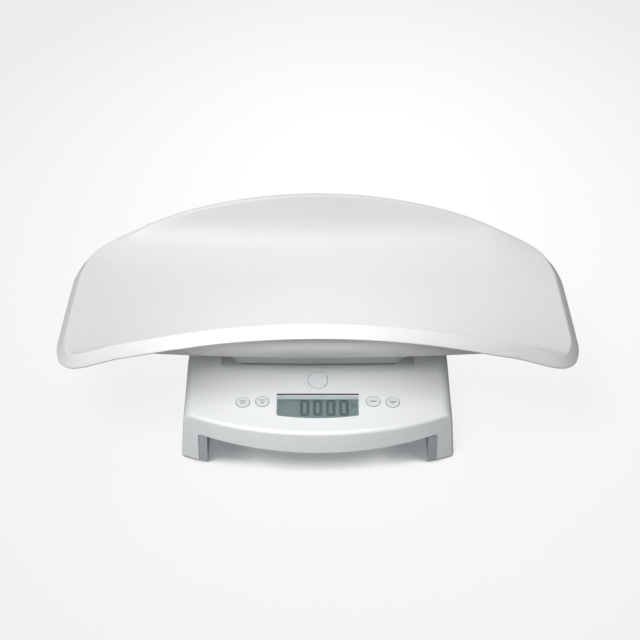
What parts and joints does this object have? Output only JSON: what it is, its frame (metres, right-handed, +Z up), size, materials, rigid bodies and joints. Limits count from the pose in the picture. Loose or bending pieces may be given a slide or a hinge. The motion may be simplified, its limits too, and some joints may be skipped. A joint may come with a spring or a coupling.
{
  "type": "baby weighing scale",
  "caption": "Digital baby weighing scale: a lift-off trough tray latched on a low legged base with a sloping control panel, window, keys and a tray release button.",
  "frame": {"origin": "on the supporting surface under the middle of the tray", "axes": "+Z up; +X to the user's right, along the tray; the control panel faces -Y"},
  "size_m": [0.5648, 0.3158, 0.1927],
  "materials": {
    "housing_plastic": "pale grey-white moulded ABS, satin",
    "cover_plastic": "pale grey moulded ABS, satin",
    "tray_plastic": "white moulded ABS, semi-gloss",
    "plinth_plastic": "white moulded ABS, satin",
    "key_plastic": "light grey moulded plastic, satin",
    "button_plastic": "pale grey-white moulded plastic, satin",
    "acetal": "natural acetal, satin",
    "foot_rubber": "dark grey rubber",
    "carrier_plastic": "black nylon",
    "spring_steel": "zinc-plated steel",
    "screw_steel": "zinc-plated steel",
    "contact_steel": "nickel-plated spring steel",
    "cell_steel": "stamped alloy steel",
    "battery_can": "dry cell with a plain dark sleeve",
    "lead_jacket": "soft pale grey jacket",
    "window_clear": "clear window, faintly grey-green",
    "lcd_glass": "grey-green reflective liquid crystal glass",
    "lcd_frame": "white nylon",
    "contact_strip": "layered conductive rubber",
    "board_green": "glass-epoxy board with green mask",
    "chip_black": "black moulded epoxy",
    "switch_metal": "domed steel contacts"
  },
  "bodies": {
    "base": {"top_housing": "housing_plastic", "bottom_cover": "cover_plastic", "battery_1": "battery_can", "battery_2": "battery_can", "battery_3": "battery_can", "battery_4": "battery_can", "battery_contacts": "contact_steel", "rubber_foot_front_left": "foot_rubber", "foot_carrier_front_left": "carrier_plastic", "load_cell_front_left": "cell_steel", "cell_lead_front_left": "lead_jacket", "rubber_foot_front_right": "foot_rubber", "foot_carrier_front_right": "carrier_plastic", "load_cell_front_right": "cell_steel", "cell_lead_front_right": "lead_jacket", "rubber_foot_rear_left": "foot_rubber", "foot_carrier_rear_left": "carrier_plastic", "load_cell_rear_left": "cell_steel", "cell_lead_rear_left": "lead_jacket", "rubber_foot_rear_right": "foot_rubber", "foot_carrier_rear_right": "carrier_plastic", "load_cell_rear_right": "cell_steel", "cell_lead_rear_right": "lead_jacket", "load_cell_screws": "screw_steel", "housing_screws": "screw_steel", "window_lens": "window_clear", "lcd_glass": "lcd_glass", "lcd_frame": "lcd_frame", "lcd_contact_strips": "contact_strip", "main_board": "board_green", "board_parts": "chip_black", "buzzer": "chip_black", "board_screws": "screw_steel", "key_switches": "switch_metal", "latch_pivot_pin": "screw_steel", "latch_spring": "spring_steel"},
    "tray": {"tray_shell": "tray_plastic", "tray_plinth": "plinth_plastic", "tray_plinth_screws": "screw_steel"},
    "door": {"battery_door": "cover_plastic"},
    "release_button": {"tray_release_button": "button_plastic"},
    "latch": {"latch_rocker": "acetal"},
    "key_power": {"key_power": "key_plastic"},
    "key_units": {"key_units": "key_plastic"},
    "key_hold": {"key_hold": "key_plastic"},
    "key_zero": {"key_zero": "key_plastic"}
  },
  "joints": [
    {"name": "tray_lift", "type": "slide", "parent": "base", "child": "tray", "axis": [0, 0, 1], "range_m": [0, 0.12]},
    {"name": "battery_door_hinge", "type": "hinge", "parent": "base", "child": "door", "pos_m": [0, 0.0685, 0.0382], "axis": [1, 0, 0], "range_deg": [0, 95]},
    {"name": "release_press", "type": "slide", "parent": "base", "child": "release_button", "axis": [0, 0.4226, -0.9063], "range_m": [0, 0.0025], "stiffness_N_per_m": 800, "springref_m": -0.002},
    {"name": "latch_turn", "type": "hinge", "parent": "base", "child": "latch", "pos_m": [0, -0.042, 0.052], "axis": [1, 0, 0], "range_deg": [0, 11.9], "deforming": ["latch_spring"]},
    {"name": "key_power_press", "type": "slide", "parent": "base", "child": "key_power", "axis": [0, 0.2657, -0.964], "range_m": [0, 0.0008], "stiffness_N_per_m": 1200, "springref_m": -0.0005},
    {"name": "key_units_press", "type": "slide", "parent": "base", "child": "key_units", "axis": [0, 0.2657, -0.964], "range_m": [0, 0.0008], "stiffness_N_per_m": 1200, "springref_m": -0.0005},
    {"name": "key_hold_press", "type": "slide", "parent": "base", "child": "key_hold", "axis": [0, 0.2657, -0.964], "range_m": [0, 0.0008], "stiffness_N_per_m": 1200, "springref_m": -0.0005},
    {"name": "key_zero_press", "type": "slide", "parent": "base", "child": "key_zero", "axis": [0, 0.2657, -0.964], "range_m": [0, 0.0008], "stiffness_N_per_m": 1200, "springref_m": -0.0005}
  ],
  "couplings": [
    {"joint": "latch_turn", "follows": "release_press", "rad_per_m": 82}
  ]
}
